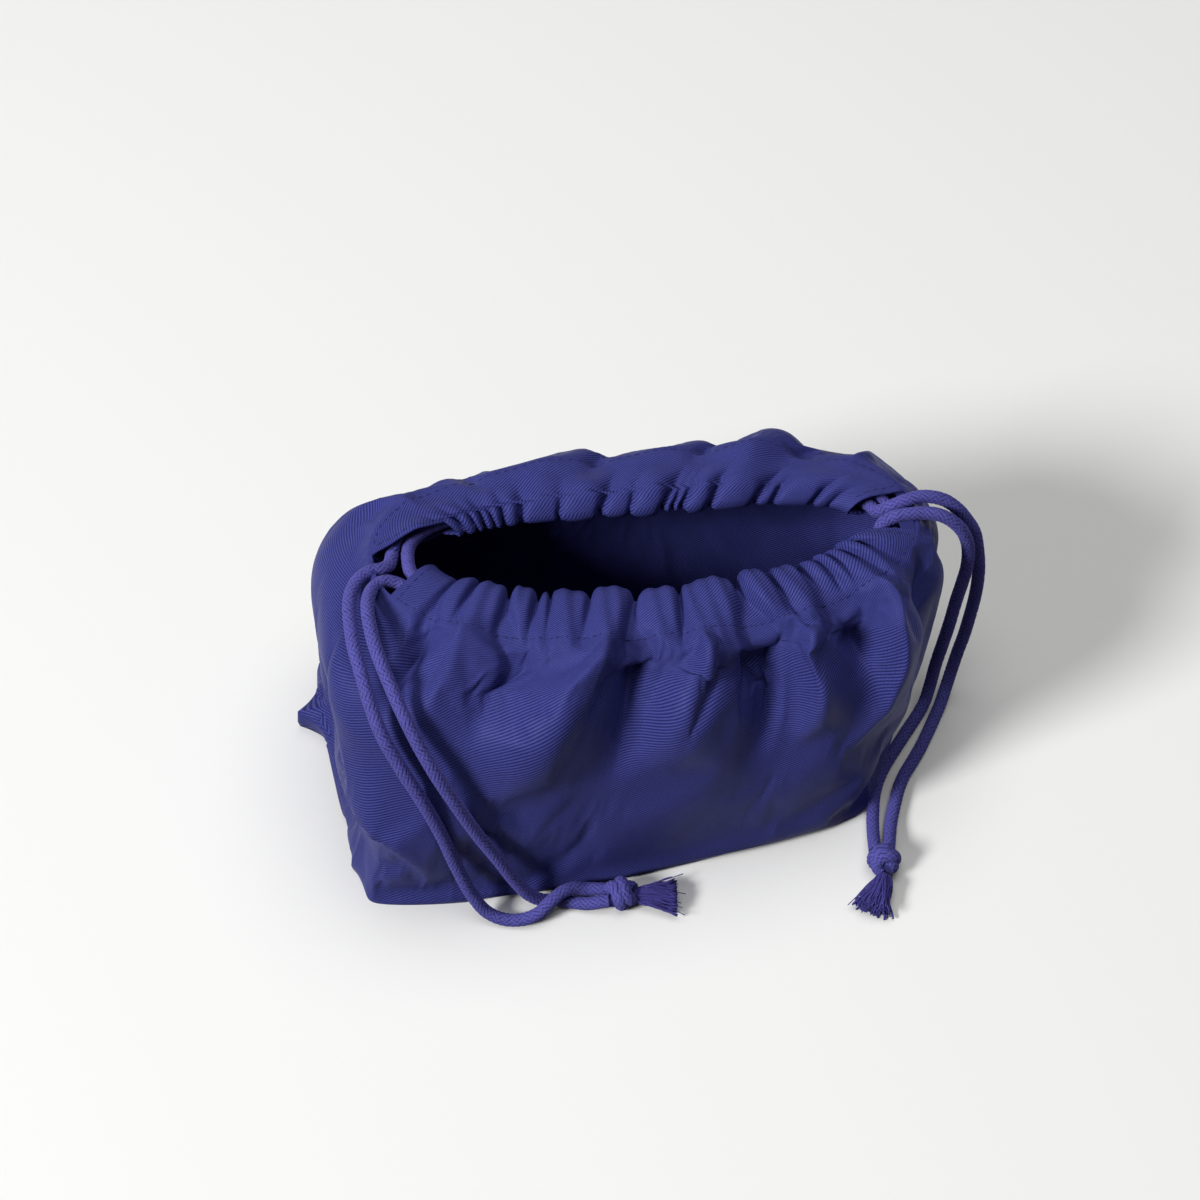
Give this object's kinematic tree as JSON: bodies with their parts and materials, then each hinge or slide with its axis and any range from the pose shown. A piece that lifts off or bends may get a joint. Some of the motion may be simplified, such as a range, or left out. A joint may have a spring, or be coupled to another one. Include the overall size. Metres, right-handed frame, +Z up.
{
  "type": "kinchaku drawstring pouch",
  "caption": "Open drawstring cloth pouch with a boxed bottom, a gathered cord casing round its mouth, and two knotted cords.",
  "frame": {"origin": "on the surface that the pouch stands on, below the middle of the cloth body's bounding box", "axes": "+Z up, +X along the long side of the pouch, -Y towards its front"},
  "size_m": [0.2451, 0.1508, 0.1053],
  "materials": {
    "cloth": "indigo twill with a slight sheen",
    "cord": "braided cord"
  },
  "bodies": {
    "root": {"pouch_body": "cloth", "left_cord_in_casing": "cord", "right_cord_in_casing": "cord", "left_strand_front": "cord", "left_strand_back": "cord", "right_strand_front": "cord", "right_strand_back": "cord", "left_knot": "cord", "right_knot": "cord", "left_tassel": "cord", "right_tassel": "cord"}
  },
  "joints": []
}
